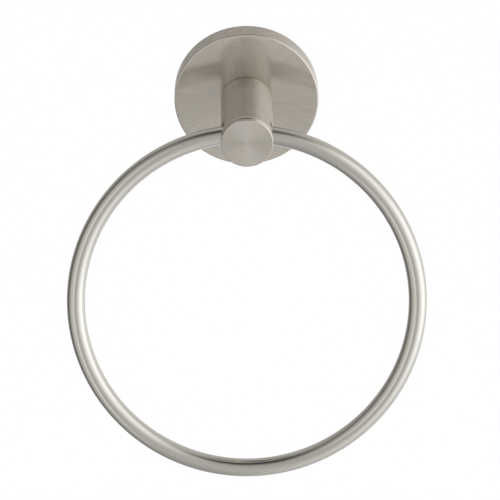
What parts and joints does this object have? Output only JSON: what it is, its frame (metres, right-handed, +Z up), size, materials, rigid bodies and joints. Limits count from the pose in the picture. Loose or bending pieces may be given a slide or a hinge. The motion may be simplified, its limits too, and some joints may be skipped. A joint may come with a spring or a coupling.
{
  "type": "towel ring",
  "caption": "Wall-fixed towel ring: a loose loop of round wire swings in a hole bored across a short round post that stands out of a round cover plate.",
  "frame": {"origin": "centre of the wall plate's back, on the wall", "axes": "+Y into the wall, so the part stands out of the wall towards -Y; +Z up; +X to the right seen from the front"},
  "size_m": [0.158, 0.0921, 0.1789],
  "materials": {
    "brushed_nickel": "satin nickel plate, finely brushed",
    "screw_steel": "plain stainless steel, smooth",
    "washer_steel": "bright zinc plate",
    "bracket_zinc_plate": "dull zinc plate"
  },
  "bodies": {
    "holder": {"wall_plate": "brushed_nickel", "post": "brushed_nickel", "post_screw": "screw_steel", "flat_washer": "washer_steel", "lock_washer": "washer_steel", "wall_bracket": "bracket_zinc_plate", "set_screw": "screw_steel"},
    "ring": {"ring": "brushed_nickel"}
  },
  "joints": [
    {"name": "ring_swing", "type": "hinge", "parent": "holder", "child": "ring", "pos_m": [0, -0.0422, 0], "axis": [-1, 0, 0], "range_deg": [-32.4, 176.8]}
  ]
}
